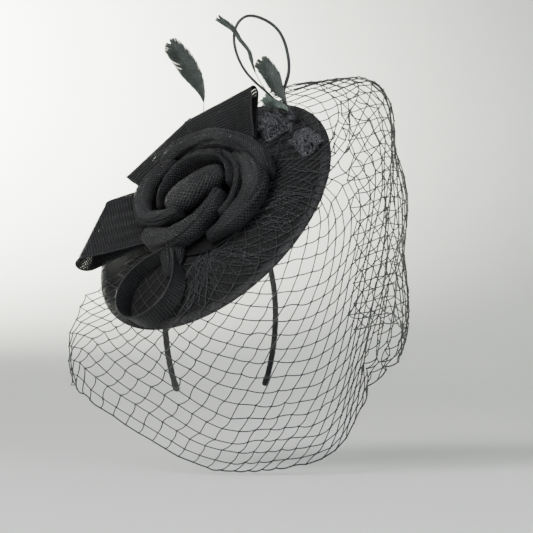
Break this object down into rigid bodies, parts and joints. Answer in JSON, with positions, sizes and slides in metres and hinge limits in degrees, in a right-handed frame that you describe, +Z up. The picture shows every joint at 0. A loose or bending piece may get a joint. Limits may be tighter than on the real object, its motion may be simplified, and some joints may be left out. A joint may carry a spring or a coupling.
{
  "type": "fascinator headpiece",
  "caption": "Black sinamay saucer fascinator with a rolled rose, ribbon loops, feathers and a draped diamond-net veil on a slim satin headband.",
  "frame": {"origin": "inner face of the headband at its crown, where it rests on the head", "axes": "+Z up along the head, -Y the way the wearer faces, -X the wearer's right, where the saucer sits"},
  "size_m": [0.2342, 0.2718, 0.376],
  "materials": {
    "spring_steel": "satin",
    "satin": "satin-woven ribbon, soft gloss",
    "thread": "matt polyester thread",
    "felt": "matt felt",
    "sinamay": "stiffened open weave, slight sheen",
    "binding": "bias-cut sinamay, slight sheen",
    "wire": "cotton-covered wire",
    "crin": "stiff open braid",
    "sinamay_rolls": "bias-folded open weave, slight sheen",
    "sinamay_strip": "ribbed open weave, stiffened",
    "feather": "dyed coque feather, green sheen",
    "quill": "pale translucent quill",
    "stripped_quill": "dyed stripped quill",
    "net": "knotted nylon net"
  },
  "bodies": {
    "base": {"band_crown_spring": "spring_steel", "band_crown_satin": "satin", "band_stitches": "thread", "comfort_pad": "felt", "disc_sinamay": "sinamay", "rim_binding": "binding", "rim_wire": "wire", "rose_base": "crin", "rose_bud": "sinamay_rolls", "rose_cup_petal": "sinamay_rolls", "rose_inner_roll": "sinamay_rolls", "rose_crescent_roll": "sinamay_rolls", "rose_top_wrap": "sinamay_rolls", "rose_left_petal": "sinamay_rolls", "rose_right_roll": "sinamay_rolls", "loop_upper": "sinamay_strip", "loop_middle": "sinamay_strip", "loop_lower": "sinamay_strip", "loop_front": "sinamay_strip", "single_feather_stub": "thread", "spray_stub": "thread", "loose_stem": "stripped_quill", "veil_over_disc": "net", "veil_tufts": "net", "veil_tacks": "thread"},
    "leg_left": {"band_leg_spring_left": "spring_steel", "band_leg_satin_left": "satin", "band_tip_left": "satin"},
    "leg_right": {"band_leg_spring_right": "spring_steel", "band_leg_satin_right": "satin", "band_tip_right": "satin"},
    "single_feather": {"single_feather_quill": "quill", "single_feather_vane": "feather"},
    "feather_spray": {"spray_binding": "thread", "broad_feather_quill": "quill", "broad_feather_vane": "feather", "short_feather_quill": "quill", "short_feather_vane": "feather", "narrow_feather_quill": "quill", "narrow_feather_vane": "feather", "curled_quill": "stripped_quill"},
    "veil": {"veil_drape": "net"}
  },
  "joints": [
    {"name": "leg_left_flex", "type": "hinge", "parent": "base", "child": "leg_left", "pos_m": [0.07166, 0, -0.0566], "axis": [0, -1, 0], "range_deg": [0, 12], "stiffness_Nm_per_rad": 1},
    {"name": "leg_right_flex", "type": "hinge", "parent": "base", "child": "leg_right", "pos_m": [-0.07166, 0, -0.0566], "axis": [0, 1, 0], "range_deg": [0, 12], "stiffness_Nm_per_rad": 1},
    {"name": "single_feather_sway", "type": "hinge", "parent": "base", "child": "single_feather", "pos_m": [0.01281, 0.02887, 0.06248], "axis": [-0.8192, -0.5736, 0], "range_deg": [-12, 12], "stiffness_Nm_per_rad": 0.03},
    {"name": "feather_spray_sway", "type": "hinge", "parent": "base", "child": "feather_spray", "pos_m": [-0.00205, -0.07139, 0.0681], "axis": [-0.8192, -0.5736, 0], "range_deg": [-8, 8], "stiffness_Nm_per_rad": 0.08},
    {"name": "veil_lift", "type": "hinge", "parent": "base", "child": "veil", "pos_m": [-0.00019, 0.04758, 0.02558], "axis": [-0.4131, 0.5909, -0.693], "range_deg": [0, 15]}
  ],
  "couplings": [
    {"joint": "leg_right_flex", "follows": "leg_left_flex", "ratio": 1}
  ]
}
